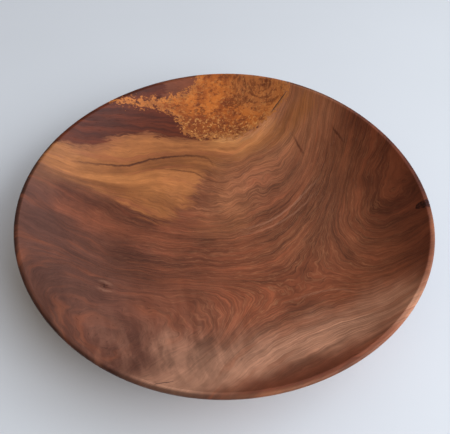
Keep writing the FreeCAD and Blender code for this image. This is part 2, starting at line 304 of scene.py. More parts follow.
# Broad washes of colour: tint, strength, half-width, and the line that the wash follows.
WASHES = [
    # Painted sheen: these two grey-brown washes along the left and lower-left walls stand in partly for the
    # satin sheen there.
    ("left_brown_and_sheen", 1.0, 40, [(-165, 10), (-148, -20), (-125, -65), (-95, -105), (-60, -140)]),
    ("left_brown_and_sheen", 0.55, 36, [(-90, -45), (-60, -85), (-50, -120)]),
    # Painted shade: this dark red wash on the right wall stands in partly for the shade there, where the wall
    # faces away from the window.
    ("right_red_and_shade", 0.9, 28, [(112, 112), (138, 75), (152, 30), (158, -10), (155, -50)]),
    ("olive_brown", 0.5, 30, [(92, 60), (86, 10), (60, -5), (98, -25)]),
    ("golden", 0.6, 14, [(-152, 57), (-125, 57), (-98, 56), (-70, 54)]),
    ("golden", 0.3, 14, [(-98, 92), (-70, 97), (-35, 96), (0, 92), (32, 96), (58, 118), (72, 134)]),
    ("golden", 0.25, 14, [(-10, 70), (-4, 40), (0, 18)]),
    ("straw", 0.45, 8, [(-4, 102), (22, 104), (44, 114)]),
    ("pink_tan", 0.6, 20, [(42, 120), (60, 132), (84, 128)]),
    ("pink_tan", 0.4, 22, [(0, 34), (28, 60), (44, 84), (60, 104)]),
    ("deep_brown", 0.5, 9, [(-20, 68), (-14, 52), (-20, 34), (-8, 20)]),
    ("deep_brown", 0.75, 7, [(-136, 26), (-104, 20), (-78, 16), (-56, 8)]),
    ("red_orange", 0.5, 8, [(-134, 12), (-116, 7), (-90, 0), (-60, -6), (-36, -12)]),
    ("deep_brown", 0.45, 9, [(-84, -22), (-62, -42), (-40, -52), (-14, -62)]),
    ("red_orange", 0.45, 14, [(36, -74), (62, -60), (92, -58), (120, -68)]),
    ("red_orange", 0.3, 24, [(-40, -80), (-10, -90), (20, -60)]),
    ("streak_tan", 1.0, 10, [(-36, -158), (-6, -144), (26, -132), (58, -119), (92, -107), (132, -94)]),
    ("streak_tan", 0.75, 13, [(-16, -128), (20, -122), (60, -108), (96, -98), (134, -84)]),
    ("deep_red", 0.6, 9, [(30, -152), (64, -140), (96, -127), (120, -110)]),
    ("streak_tan", 0.35, 8, [(-42, -108), (-36, -126), (-30, -140)]),
]
WASH_DRIFT = 7.0
# The sapwood's dark red-brown zone and the burl, as closed outlines.
DARK_ZONE = [(-150, 66), (-124, 74), (-102, 92), (-88, 99), (-62, 104), (-38, 103), (-14, 107), (12, 111),
             (30, 118), (12, 128), (-24, 124), (-58, 132), (-60, 150), (-96, 138), (-140, 96)]
BURL = [(-116, 119), (-92, 124), (-66, 128), (-48, 124), (-42, 112), (-26, 105), (-8, 107), (10, 109),
        (24, 115), (36, 122), (47, 132), (60, 146), (50, 172), (20, 180), (-20, 176), (-32, 152),
        (-46, 144), (-66, 136), (-90, 129)]
# Where growth lines show: centre, half-sizes and strength.
LINED = [(30, 40, 46, 50, 1.0), (85, 0, 40, 60, 0.9), (50, -90, 70, 34, 0.9), (30, -40, 60, 30, 0.7),
         (-40, 85, 60, 20, 0.5), (-60, 20, 60, 24, 0.55), (-30, -30, 50, 20, 0.5), (112, 84, 30, 34, 0.5),
         (-110, -60, 40, 50, 0.1), (60, 120, 26, 26, 0.7)]
# The golden sapwood, as a closed outline.
GOLD = [(-158, 46), (-140, 60), (-120, 70), (-100, 94), (-80, 104), (-36, 106), (0, 105), (30, 112),
        (52, 124), (74, 142), (84, 130), (70, 114), (46, 98), (22, 86), (-2, 82), (-16, 72), (-24, 50),
        (-32, 28), (-50, 10), (-66, 14), (-84, 26), (-108, 36), (-134, 40)]
# Thin dark lines in the wood: half-width, darkness and the line.
DARK_LINES = [
    (1.0, 0.9, [(-132, 57), (-112, 63), (-96, 66), (-84, 70), (-70, 78), (-52, 83), (-36, 86), (-16, 84),
                (-11, 76)]),
    (0.8, 0.55, [(-66, 69), (-44, 69), (-28, 67), (-18, 61), (-4, 57), (12, 63)]),
    (1.0, 0.7, [(64, 106), (68, 96), (73, 85)]),
    (0.9, 0.8, [(99, 106), (103, 98), (108, 89)]),
    (0.8, 0.55, [end[:2] for end in CHECK_ENDS["far_check_fill"]]),
    (0.8, 0.9, by_pin_knot([(-5, 2), (0, 0), (6, -1)])),
    (0.7, 0.35, [(20, 16), (40, 22), (56, 34), (66, 52)]),
    (0.6, 0.4, [(-112, 106), (-104, 112), (-92, 117)]),
]
PALE_LINES = [
    (0.9, 0.5, [(15, 4), (40, 14), (60, 30), (74, 46), (85, 58)]),
    (0.8, 0.35, [(16, -2), (42, 8), (64, 24), (80, 42)]),
    (0.9, 0.35, [(68, -90), (88, -87), (106, -83)]),
    (0.8, 0.3, [(48, -72), (70, -64), (88, -62), (104, -68)]),
    (1.0, 0.35, [(-40, -110), (-42, -122), (-38, -132)]),
    (1.1, 0.4, by_pin_knot([(-5, 5), (0, 4), (6, 2)])),
    (1.1, 0.4, by_pin_knot([(-5, -2), (1, -4), (7, -4)])),
]
LINE_REACH = 4.0
# Places and sizes of the ripples: centre, half-sizes and strength.
WAVE_PLACE = (26, 44, 24, 32)
WAVE_SIZE = 1.5
WAVE_LENGTH = 17.0
GROWTH_DRIFT = 1.6
# The curl's pale ripples are painted sheen laid over real curly figure, strongest on the near-left wall.
CURL_SHEEN_SPOTS = [(-46, -124, 36, 20, 0.9), (-10, -124, 20, 14, 0.7), (-104, -80, 30, 34, 0.12),
              (-8, -84, 28, 20, 0.3), (-30, 44, 26, 26, 0.15)]


def smooth_run(points, step=LINE_STEP):
    """A smooth curve through given points."""
    points = np.array(points, float)
    points = np.vstack([2 * points[0] - points[1], points, 2 * points[-1] - points[-2]])
    run = []
    for index in range(1, len(points) - 2):
        a, b, c, d = points[index - 1:index + 3]
        count = max(1, int(np.hypot(*(c - b)) / step))
        t = np.linspace(0, 1, count, endpoint=False)[:, None]
        run.append(0.5 * (2 * b + (c - a) * t + (2 * a - 5 * b + 4 * c - d) * t ** 2
                          + (-a + 3 * b - 3 * c + d) * t ** 3))
    return np.vstack(run + [points[-2][None]])


def spline_kernel(squared):
    """The thin-plate spline's kernel of a squared distance."""
    return 0.5 * squared * np.log(np.maximum(squared, 1e-12))


def growth_spline():
    """A smooth sheet through the growth lines: its centres and weights."""
    runs = [smooth_run(points) for _, points in GROWTH_LINES]
    order = np.concatenate([np.full(len(run), float(value)) for (value, _), run in zip(GROWTH_LINES, runs)])
    centres = np.vstack(runs) / FIGURE_UNIT
    squared = ((centres[:, None] - centres[None]) ** 2).sum(-1)
    kernel = spline_kernel(squared) + np.eye(len(centres)) * LINE_EASE
    plane = np.column_stack([np.ones(len(centres)), centres])
    matrix = np.block([[kernel, plane], [plane.T, np.zeros((3, 3))]])
    return centres, np.linalg.solve(matrix, np.concatenate([order, np.zeros(3)]))


def growth_order(x, y):
    """The growth order of the wood at places seen from above."""
    centres, weights = growth_spline()
    places = np.column_stack([x, y]) / FIGURE_UNIT
    order = np.empty(len(places))
    block = 8000
    for start in range(0, len(places), block):
        part = places[start:start + block]
        squared = ((part[:, None] - centres[None]) ** 2).sum(-1)
        order[start:start + block] = spline_kernel(squared) @ weights[:-3] + weights[-3] + part @ weights[-2:]
    cx, cy, half_x, half_y = WAVE_PLACE
    share = np.exp(-0.5 * (((x - cx) / half_x) ** 2 + ((y - cy) / half_y) ** 2))
    swing = 2 * math.pi * (x * 0.94 + y * 0.1) / WAVE_LENGTH + 1.6 * drift(x, y, 71)
    order = order + WAVE_SIZE * share * (1 + 0.6 * drift(x, y, 72)) * np.sin(swing)
    return order + GROWTH_DRIFT * drift(x, y, 73)


def drift(x, y, seed):
    """Slow, seeded waves that keep listed shapes from looking drawn: about -1 to 1."""
    chance = np.random.default_rng(seed)
    total = np.zeros(len(x))
    for octave in range(4):
        for _ in range(3):
            angle, phase = chance.uniform(0, 2 * math.pi, 2)
            wave = 2 * math.pi / (46 / 1.9 ** octave)
            total += np.sin(wave * (x * math.cos(angle) + y * math.sin(angle)) + phase) / (3 * 1.6 ** octave)
    return total


def line_distance(x, y, run):
    """Distance to a run of points, signed by side, and how far along it (0 to 1)."""
    best = np.full(len(x), 1e6)
    signed = np.full(len(x), 1e6)
    along = np.zeros(len(x))
    pieces = len(run) - 1
    for index in range(pieces):
        start, end = run[index], run[index + 1]
        direction = end - start
        length = np.hypot(*direction)
        direction = direction / length
        t = np.clip((x - start[0]) * direction[0] + (y - start[1]) * direction[1], 0, length)
        away_x = x - start[0] - t * direction[0]
        away_y = y - start[1] - t * direction[1]
        gap = np.hypot(away_x, away_y)
        closer = gap < best
        side = np.where(direction[0] * away_y - direction[1] * away_x < 0, -1.0, 1.0)
        best = np.where(closer, gap, best)
        signed = np.where(closer, gap * side, signed)
        along = np.where(closer, (index + t / length) / pieces, along)
    return signed, along


def outline_depth(x, y, outline, soft):
    """How far inside a closed outline a place is, in mm: negative outside, limited to +-soft."""
    run = smooth_run(outline + [outline[0]], 6.0)
    gap = np.abs(line_distance(x, y, run)[0])
    inside = np.zeros(len(x), bool)
    for (x0, y0), (x1, y1) in zip(run[:-1], run[1:]):
        if y0 == y1:
            continue
        crosses = (y0 > y) != (y1 > y)
        inside ^= crosses & (x < (x1 - x0) * (y - y0) / (y1 - y0) + x0)
    return np.clip(np.where(inside, gap, -gap), -soft, soft)


def linear(colour):
    """A 0 to 255 sRGB colour as linear light."""
    share = np.array(colour, float) / 255
    return np.where(share <= 0.04045, share / 12.92, ((share + 0.055) / 1.055) ** 2.4)


def wood_tint(x, y):
    """The broad colour of the wood, with some painted sheen on the left walls and painted shade on the right
    wall.
    """
    shade = np.tile(linear(BASE_WOOD), (len(x), 1))
    for index, (tint, strength, width, points) in enumerate(WASHES):
        shifted_x = x + WASH_DRIFT * 0.6 * drift(x, y, 3 * index)
        shifted_y = y + WASH_DRIFT * 0.6 * drift(x, y, 3 * index + 1)
        gap, _ = line_distance(shifted_x, shifted_y, smooth_run(points, 14.0))
        share = (strength * np.exp(-0.5 * (gap / width) ** 2))[:, None]
        shade = shade * (1 - share) + linear(TINTS[tint]) * share
    return shade


def thin_lines(x, y, lines):
    """For the nearest of a set of thin lines: the signed distance in half-widths, and its strength here."""
    nearest = np.full(len(x), 1e6)
    signed = np.zeros(len(x))
    strength = np.zeros(len(x))
    for half, dark, points in lines:
        gap, along = line_distance(x, y, smooth_run(points, 4.0))
        taper = np.clip(np.sin(math.pi * np.clip(along, 0.02, 0.98)), 0, 1) ** 0.5
        here = dark * taper * np.clip(1 - (np.abs(gap) - LINE_REACH / 2) / (LINE_REACH / 2), 0, 1)
        closer = np.abs(gap) < nearest
        nearest = np.where(closer, np.abs(gap), nearest)
        signed = np.where(closer, np.clip(gap, -LINE_REACH, LINE_REACH) / half, signed)
        strength = np.where(closer, here, strength)
    return signed, strength


def curl_sheen_strength(x, y):
    """How strongly the wood is curled across the grain, and so how strong the painted sheen of its pale
    ripples is.
    """
    total = np.zeros(len(x))
    for cx, cy, half_x, half_y, strength in CURL_SHEEN_SPOTS:
        total += strength * np.exp(-0.5 * (((x - cx) / half_x) ** 2 + ((y - cy) / half_y) ** 2))
    return np.clip(total, 0, 1)


def lined_strength(x, y):
    """How clearly the growth lines show."""
    clear = np.ones(len(x))
    for cx, cy, half_x, half_y, strength in LINED:
        clear *= 1 - strength * np.exp(-0.5 * (((x - cx) / half_x) ** 2 + ((y - cy) / half_y) ** 2))
    return 1 - clear


# Dark stretches of the lip: by the rim knot (bearings 20 and 52) a real stain; the others, mainly on the left
# and lower left, painted shade where the lip faces away from the light.
LIP_SHADE_AND_STAIN_ARCS = [(20, 16, 0.75), (52, 26, 0.45), (170, 60, 0.75), (215, 40, 0.7), (252, 22, 0.5),
            (110, 30, 0.4), (300, 20, 0.3)]
# Light stretches of the lip on its right and lower right: painted highlight where the lip faces the window.
LIP_HIGHLIGHT_ARCS = [(-30, 20, 0.26), (-75, 9, 0.3), (-7, 3, 0.25)]
LIP_SHADE_AND_STAIN = (46, 20, 14)
LIP_HIGHLIGHT = (206, 134, 92)


def lip_stain_and_painted_light(x, y, shade):
    """The colour of the wood with the lip's dark stretches (a stain by the rim knot, painted shade elsewhere)
    and its painted highlight.
    """
    bearing = np.degrees(np.arctan2(y, x))
    share = np.clip((np.hypot(x, y) - (RIM_RADIUS - 3.0)) / 1.6, 0, 1)
    for arcs, colour in ((LIP_SHADE_AND_STAIN_ARCS, LIP_SHADE_AND_STAIN), (LIP_HIGHLIGHT_ARCS, LIP_HIGHLIGHT)):
        for middle, half, strength in arcs:
            away = (bearing - middle + 180) % 360 - 180
            here = (share * strength * np.exp(-0.5 * (away / half) ** 2))[:, None]
            shade = shade * (1 - here) + linear(colour) * here
    return shade


def paint_figure(mesh, places):
    """Store the figure on a mesh's points, from their places in millimetres."""
    x, y = places[:, 0], places[:, 1]
    dark_gap, dark_share = thin_lines(x, y, DARK_LINES)
    pale_gap, pale_share = thin_lines(x, y, PALE_LINES)
    fields = {
        "growth": growth_order(x, y),
        "curl_sheen": curl_sheen_strength(x, y),
        "lined": lined_strength(x, y),
        "gold": outline_depth(x, y, GOLD, 16.0),
        "dark_zone": outline_depth(x, y, DARK_ZONE, 12.0),
        "burl": outline_depth(x, y, BURL, 12.0),
        "dark_gap": dark_gap,
        "dark_share": dark_share,
        "pale_gap": pale_gap,
        "pale_share": pale_share,
    }
    for name, values in fields.items():
        mesh.attributes.new(name, "FLOAT", "POINT").data.foreach_set("value", values.astype(np.float32))
    # The tint carries the painted sheen and shade of the washes and the lip's painted shade and highlight
    # along with the wood's colour.
    tint = np.column_stack([lip_stain_and_painted_light(x, y, wood_tint(x, y)), np.ones(len(x))])
    layer = mesh.attributes.new("tint", "FLOAT_COLOR", "POINT")
    layer.data.foreach_set("color", tint.astype(np.float32).ravel())


# ---------------------------------------------------------------------------------------------------------
# Material nodes
# ---------------------------------------------------------------------------------------------------------
class Nodes:
    """A few short ways to lay out a material's nodes."""

    def __init__(self, name):
        self.material = bpy.data.materials.new(name)
        self.material.use_nodes = True
        self.tree = self.material.node_tree
        self.shader = self.tree.nodes["Principled BSDF"]

    def feed(self, socket, value):
        """Give an input a value or another node's output."""
        if isinstance(value, bpy.types.NodeSocket):
            self.tree.links.new(value, socket)
        else:
            socket.default_value = value

    def new(self, kind):
        """An empty node of a kind."""
        return self.tree.nodes.new(kind)

    def attribute(self, name, output="Fac"):
        """A field stored on the mesh's points."""
        node = self.new("ShaderNodeAttribute")
        node.attribute_name = name
        return node.outputs[output]

    def place(self):
        """The place on the object in millimetres."""
        return self.scaled(self.new("ShaderNodeTexCoord").outputs["Object"], (1 / MM, 1 / MM, 1 / MM))

    def scaled(self, vector, scale):
        """A vector scaled along each axis."""
        node = self.new("ShaderNodeVectorMath")
        node.operation = "MULTIPLY"
        self.feed(node.inputs[0], vector)
        node.inputs[1].default_value = scale
        return node.outputs[0]

    def math(self, operation, *values):
        """A sum on numbers."""
        node = self.new("ShaderNodeMath")
        node.operation = operation
        for socket, value in zip(node.inputs, values):
            self.feed(socket, value)
        return node.outputs[0]

    def noise(self, vector, scale, order=0.0, detail=3.0, rough=0.55):
        """Noise over a place, and over the growth order as its fourth direction: about 0.5 on average."""
        node = self.new("ShaderNodeTexNoise")
        node.noise_dimensions = "4D"
        self.feed(node.inputs["Vector"], self.scaled(vector, (scale, scale, scale)))
        self.feed(node.inputs["W"], order)
        node.inputs["Scale"].default_value = 1.0
        node.inputs["Detail"].default_value = detail
        node.inputs["Roughness"].default_value = rough
        return node.outputs["Fac"]

    def step(self, value, low, high):
        """0 below low, 1 above high, smooth between."""
        node = self.new("ShaderNodeMapRange")
        node.interpolation_type = "SMOOTHSTEP"
        self.feed(node.inputs["Value"], value)
        node.inputs["From Min"].default_value = low
        node.inputs["From Max"].default_value = high
        return node.outputs["Result"]

    def span(self, value, low, high):
        """0 to 1 turned into low to high."""
        return self.math("MULTIPLY_ADD", value, high - low, low)

    def mix(self, share, first, second):
        """Two colours mixed."""
        node = self.new("ShaderNodeMix")
        node.data_type = "RGBA"
        self.feed(node.inputs["Factor"], share)
        colours = [socket for socket in node.inputs if socket.type == "RGBA"]
        for socket, colour in zip(colours, (first, second)):
            self.feed(socket, colour)
        return [socket for socket in node.outputs if socket.type == "RGBA"][0]

    def distance(self, place, point):
        """Distance from a point."""
        node = self.new("ShaderNodeVectorMath")
        node.operation = "DISTANCE"
        self.feed(node.inputs[0], place)
        node.inputs[1].default_value = point
        return node.outputs["Value"]

    def brighten(self, colour, factor):
        """A colour scaled by a number."""
        node = self.new("ShaderNodeVectorMath")
        node.operation = "SCALE"
        self.feed(node.inputs[0], colour)
        self.feed(node.inputs["Scale"], factor)
        return node.outputs[0]

    def bump(self, height, distance_mm, strength=1.0, under=None):
        """A bump of a height field, laid over another bump."""
        node = self.new("ShaderNodeBump")
        self.feed(node.inputs["Height"], height)
        node.inputs["Distance"].default_value = distance_mm * MM
        node.inputs["Strength"].default_value = strength
        if under is not None:
            self.feed(node.inputs["Normal"], under)
        return node.outputs["Normal"]


def rgba(colour):
    """A 0 to 255 sRGB colour as a socket's value."""
    return (*[float(part) for part in linear(colour)], 1.0)


# The middle of the rings at the burl's right end.
WHORL = (34.0, 158.0, 48.0)
WOOD_DEPTH = 0.91
FIGURE_COLOURS = {
    "gold_dark": (150, 88, 46),
    "gold_light": (184, 116, 64),
    "hairline": (186, 126, 88),
    "zone_dark": (66, 22, 9),
    "zone_light": (108, 44, 20),
    "burl_brown": (140, 66, 23),
    "burl_orange": (196, 108, 40),
    "burl_low": (110, 52, 24),
    "whorl_dark": (104, 54, 28),
    "whorl_light": (166, 98, 50),
    "dash": (100, 44, 16),
    "fleck": (222, 154, 86),
    "dark_line": (74, 34, 18),
}


def tone(name):
    """A named colour of the figure as a socket's value."""
    return rgba(FIGURE_COLOURS[name])


class WoodNodes(Nodes):
    """Nodes that know the place on the wood and its growth order, and the noises that several layers use."""

    def __init__(self, name):
        super().__init__(name)
        self.spot = self.place()
        self.growth = self.attribute("growth")
        self.broad = self.grain(0.010, 0.075, 3.0, 0.55)
        self.streak = self.grain(0.016, 0.26, 4.0, 0.6)
        self.fibre = self.grain(0.09, 2.6, 2.0, 0.6)
        self.ragged = self.grain(0.045, 0.32, 4.0, 0.65)
        self.pores = self.step(self.grain(0.20, 3.0, 2.0, 0.5), 0.60, 0.72)

    def grain(self, scale, rate, detail, rough, start=0.0):
        """Noise that is drawn out along the growth lines: rate is how fast it changes across them."""
        order = self.math("MULTIPLY_ADD", self.growth, rate, start)
        return self.noise(self.spot, scale, order, detail, rough)

    def cloud(self, scale, detail, rough):
        """Noise that takes no notice of the grain."""
        return self.noise(self.spot, scale, 0.0, detail, rough)

    def shaded(self, colour, field, low, high, darkest, lightest):
        """A colour made darker where a field is low and lighter where it is high."""
        return self.brighten(colour, self.span(self.step(field, low, high), darkest, lightest))

    def swung(self, field, reach, under):
        """A field that is moved up and down by a noise, so that its edge is ragged."""
        return self.math("MULTIPLY_ADD", self.math("SUBTRACT", field, 0.5), reach, under)

    def inverse(self, value):
        """One minus a number."""
        return self.math("SUBTRACT", 1.0, value)


def streaked_wood(n):
    """The ground colour, the golden sapwood, and streaks from broad to fine along the growth lines."""
    gold = n.step(n.swung(n.ragged, 42.0, n.attribute("gold")), -5.0, 9.0)
    gold_colour = n.mix(n.step(n.broad, 0.3, 0.7), tone("gold_dark"), tone("gold_light"))
    colour = n.mix(n.math("MULTIPLY", gold, 0.72), n.attribute("tint", "Color"), gold_colour)
    plain = n.shaded(colour, n.broad, 0.32, 0.68, 0.82, 1.18)
    lined = n.attribute("lined")
    colour = n.shaded(plain, n.streak, 0.34, 0.66, 0.80, 1.18)
    colour = n.shaded(colour, n.grain(0.020, 1.0, 3.0, 0.65), 0.38, 0.62, 0.76, 1.20)
    colour = n.shaded(colour, n.grain(0.035, 1.9, 2.0, 0.6), 0.40, 0.60, 0.82, 1.15)
    hair = n.math("ABSOLUTE", n.math("SUBTRACT", n.grain(0.028, 0.62, 3.0, 0.6, 40.0), 0.5))
    hair_share = n.math("MULTIPLY_ADD", lined, 0.34, 0.03)
    hair = n.math("MULTIPLY", n.inverse(n.step(hair, 0.004, 0.030)), hair_share)
    colour = n.mix(hair, colour, tone("hairline"))
    clear = n.math("MULTIPLY_ADD", lined, 0.80, 0.14)
    clear = n.math("MULTIPLY", clear, n.math("MULTIPLY_ADD", gold, -0.45, 1.0))
    colour = n.mix(clear, plain, colour)
    colour = n.shaded(colour, n.fibre, 0.34, 0.66, 0.90, 1.08)
    red = n.step(n.grain(0.014, 0.16, 3.0, 0.6), 0.5, 0.68)
    colour = n.mix(n.math("MULTIPLY", red, 0.35), colour, rgba(TINTS["red_orange"]))
    return n.shaded(colour, n.grain(0.035, 0.03, 4.0, 0.6), 0.36, 0.64, 0.88, 1.10)


def curled_with_sheen(n, colour):
    """Soft light and dark ripples across the grain: curly figure, with its pale bands painted in as the satin
    sheen (chatoyance) it shows.
    """
    leaning = n.new("ShaderNodeMapping")
    n.feed(leaning.inputs["Vector"], n.spot)
    leaning.inputs["Rotation"].default_value = (0, 0, math.radians(-14))
    ripple = n.noise(n.scaled(leaning.outputs["Vector"], (0.13, 0.032, 0.05)), 1.0, 0.0, 4.0, 0.55)
    ripple = n.step(ripple, 0.36, 0.64)
    pale = n.mix(n.math("MULTIPLY", ripple, 0.2), colour, rgba(TINTS["streak_tan"]))
    return n.mix(n.attribute("curl_sheen"), colour, n.brighten(pale, n.span(ripple, 0.76, 1.12)))


def zoned(n, colour):
    """The dark red-brown zone round the burl, with edges that are ragged along the grain."""
    zone = n.step(n.swung(n.ragged, 26.0, n.attribute("dark_zone")), -2.0, 2.4)
    zone_colour = n.mix(n.step(n.streak, 0.35, 0.7), tone("zone_dark"), tone("zone_light"))
    return n.mix(n.math("MULTIPLY", zone, 0.92), colour, zone_colour)


def burled(n, colour):
    """The burl: orange, stippled with short dark dashes, ringed at its right end, paler along its edge.

    Returns the colour, where the burl is, and its dashes."""
    edge = n.swung(n.grain(0.20, 0.25, 4.0, 0.7), 16.0, n.attribute("burl"))
    edge = n.swung(n.grain(0.36, 0.5, 3.0, 0.7), 24.0, edge)
    burl = n.step(edge, -1.6, 2.2)
    fringe = n.math("MULTIPLY", burl, n.inverse(n.step(edge, 2.0, 6.0)))
    cloud = n.step(n.grain(0.05, 0.10, 4.0, 0.65), 0.36, 0.60)
    inner = n.mix(cloud, tone("burl_brown"), tone("burl_orange"))
    from_whorl = n.distance(n.spot, WHORL)
    whorl = n.noise(n.spot, 0.07, n.math("MULTIPLY", from_whorl, 0.30), 4.0, 0.65)
    whorled = n.mix(n.step(whorl, 0.40, 0.56), tone("whorl_dark"), tone("whorl_light"))
    near_whorl = n.inverse(n.step(from_whorl, 18.0, 44.0))
    inner = n.mix(n.math("MULTIPLY", near_whorl, 0.85), inner, whorled)
    sides = n.new("ShaderNodeSeparateXYZ")
    n.feed(sides.inputs[0], n.spot)
    lower = n.inverse(n.step(sides.outputs["Y"], 114.0, 136.0))
    lower = n.math("MULTIPLY", lower, n.step(sides.outputs["X"], -62.0, -44.0))
    inner = n.mix(n.math("MULTIPLY", lower, 0.6), inner, tone("burl_low"))
    thick = n.swung(n.cloud(0.06, 2.0, 0.5), 0.5, n.grain(0.30, 0.45, 4.0, 0.75))
    dashes = n.step(n.math("MULTIPLY_ADD", lower, 0.03, thick), 0.525, 0.60)
    inner = n.mix(n.math("MULTIPLY", dashes, 0.7), inner, tone("dash"))
    flecks = n.step(n.grain(0.34, 0.5, 3.0, 0.7, 60.0), 0.53, 0.62)
    flecks = n.math("MULTIPLY", flecks, n.math("MULTIPLY_ADD", lower, 0.6, 0.25))
    pale = n.math("MAXIMUM", flecks, n.math("MULTIPLY", fringe, 0.30))
    return n.mix(burl, colour, n.mix(pale, inner, tone("fleck"))), burl, dashes


def single_lines(n, colour):
    """Single dark and pale lines, slightly unsteady."""
    wobble = n.math("MULTIPLY", n.math("SUBTRACT", n.cloud(0.12, 4.0, 0.65), 0.5), 5.0)
    for kind, end, share, line_colour in (("dark", 1.7, 1.0, tone("dark_line")),
                                          ("pale", 1.8, 0.6, rgba(TINTS["streak_tan"]))):
        gap = n.math("ABSOLUTE", n.math("ADD", n.attribute(kind + "_gap"), wobble))
        line = n.math("MULTIPLY", n.inverse(n.step(gap, 0.2, end)), n.attribute(kind + "_share"))
        colour = n.mix(n.math("MULTIPLY", line, share), colour, line_colour)
    return colour


def oiled_skin(n, burl, dashes):
    """A satin oil and wax finish, rubbed unevenly, duller in the burl and pores, with fine relief."""
    rough = n.math("ADD", n.span(n.cloud(0.018, 4.0, 0.6), 0.36, 0.52), n.math("MULTIPLY", burl, 0.05))
    rough = n.math("ADD", rough, n.math("MULTIPLY", n.pores, 0.12))
    n.feed(n.shader.inputs["Roughness"], rough)
    relief = n.bump(n.cloud(0.035, 2.0, 0.5), 0.5, 0.5)
    relief = n.bump(n.fibre, 0.10, 0.5, relief)
    relief = n.bump(n.grain(0.9, 2.0, 2.0, 0.6), 0.05, 0.5, relief)
    pits = n.inverse(n.math("MAXIMUM", n.pores, n.math("MULTIPLY", dashes, burl)))
    n.feed(n.shader.inputs["Normal"], n.bump(pits, 0.10, 0.8, relief))
    n.shader.inputs["IOR"].default_value = 1.46
    n.shader.inputs["Specular IOR Level"].default_value = 0.22


def figured_wood():
    """The plate's wood, layer by layer."""
    n = WoodNodes("figured_wood_figure")
    colour = zoned(n, curled_with_sheen(n, streaked_wood(n)))
    colour, burl, dashes = burled(n, colour)
    colour = single_lines(n, colour)
    colour = n.brighten(colour, n.math("MULTIPLY_ADD", n.pores, -0.28, 1.0))
    n.feed(n.shader.inputs["Base Color"], n.brighten(colour, WOOD_DEPTH))
    oiled_skin(n, burl, dashes)
    return n.material


KNOT_CRACK = (22, 9, 7)


def knot_wood(name, dark, light):
    """Dead branch wood: red-brown rings, cracked, with a resinous skin."""
    n = Nodes(name)
    place = n.place()
    cloud = n.noise(place, 0.5, 0.0, 4.0, 0.65)
    rings = n.noise(place, 1.4, 0.0, 3.0, 0.6)
    colour = n.mix(n.step(cloud, 0.40, 0.66), rgba(dark), rgba(light))
    colour = n.mix(n.math("MULTIPLY", n.step(rings, 0.5, 0.7), 0.5), colour, rgba(KNOT_CRACK))
    n.feed(n.shader.inputs["Base Color"], colour)
    n.feed(n.shader.inputs["Roughness"], n.span(cloud, 0.42, 0.64))
    n.shader.inputs["Specular IOR Level"].default_value = 0.2
    n.feed(n.shader.inputs["Normal"], n.bump(rings, 0.25, 0.7, n.bump(cloud, 0.4, 0.5)))
    return n.material


def dark_fill():
    """Dark hard resin in a check, sanded flush, with dust and fine pits."""
    n = Nodes("dark_fill_resin")
    place = n.place()
    cloud = n.noise(place, 0.8, 0.0, 4.0, 0.6)
    pits = n.noise(place, 3.0, 0.0, 2.0, 0.6)
    colour = n.mix(n.step(cloud, 0.42, 0.62), rgba((30, 14, 10)), rgba((58, 28, 18)))
    n.feed(n.shader.inputs["Base Color"], colour)
    n.feed(n.shader.inputs["Roughness"], n.span(cloud, 0.30, 0.52))
    n.feed(n.shader.inputs["Normal"], n.bump(pits, 0.12, 0.6))
    return n.material


def green_felt():
    """Dark green wool felt: matted fibres, slightly uneven in colour."""
    n = Nodes("felt_wool")
    place = n.place()
    matted = n.noise(place, 1.1, 0.0, 5.0, 0.7)
    cloud = n.noise(place, 0.07, 0.0, 3.0, 0.6)
    colour = n.mix(n.step(matted, 0.35, 0.65), rgba((30, 52, 36)), rgba((58, 86, 60)))
    colour = n.brighten(colour, n.span(cloud, 0.8, 1.2))
    n.feed(n.shader.inputs["Base Color"], colour)
    n.feed(n.shader.inputs["Roughness"], n.span(matted, 0.86, 1.0))
    n.feed(n.shader.inputs["Normal"], n.bump(matted, 0.5, 0.9))
    n.shader.inputs["Sheen Weight"].default_value = 0.25
    return n.material


# ---------------------------------------------------------------------------------------------------------
# Meshes
# ---------------------------------------------------------------------------------------------------------
def new_piece(name, places, faces, material):
    """A smooth-shaded piece of the object from places in millimetres."""
    mesh = bpy.data.meshes.new(name)
    mesh.from_pydata((places * MM).tolist(), [], faces)
    mesh.polygons.foreach_set("use_smooth", [True] * len(mesh.polygons))
    mesh.materials.append(material)
    mesh.update()
    piece = bpy.data.objects.new(name, mesh)
    bpy.context.scene.collection.objects.link(piece)
    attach(piece, "root")
    return piece


def grid_faces(rows, columns, wraps):
    """Quads of a grid of points held row by row. A grid that wraps closes its last column on its first."""
    row = np.arange(rows - 1)[:, None]
    column = np.arange(columns if wraps else columns - 1)[None]
    following = (column + 1) % columns
    corners = [row * columns + column, row * columns + following, (row + 1) * columns + following,
               (row + 1) * columns + column]
    full = (rows - 1, column.shape[1])
    return np.stack([np.broadcast_to(corner, full) for corner in corners], -1).reshape(-1, 4)


def closed_skin(name, places, columns, ends, material):
    """A closed piece from rings of points held row by row, shut by a fan of faces to a point at each end."""
    faces = grid_faces(len(places) // columns, columns, True).tolist()
    top = len(places)
    last = top - columns
    for index in range(columns):
        following = (index + 1) % columns
        faces.append([top, following, index])
        faces.append([top + 1, last + index, last + following])
    return new_piece(name, np.vstack([places, ends]), [face[::-1] for face in faces], material)


def stands_for(node):
    """Hide the CAD node that a piece stands in for."""
    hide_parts(node)


def make_plate():
    """The turned plate as one closed skin with its figure stored on it."""
    bearings = np.linspace(0, 2 * math.pi, BEARINGS, endpoint=False)
    around, along = np.meshgrid(bearings, SECTION_LENGTH)
    places = surface_point(around.ravel(), along.ravel())
    ends = np.array([[0, 0, SECTION[0, 1]], [0, 0, SECTION[-1, 1]]])
    piece = closed_skin("turned_plate", places, BEARINGS, ends, figured_wood())
    places = np.vstack([places, ends])
    paint_figure(piece.data, places)
    bake_map(piece, places)
    stands_for("plate_body")


INSIDE_MAP = (0.375, 0.375, 0.37)
OUTSIDE_MAP = (0.865, 0.865, 0.13)


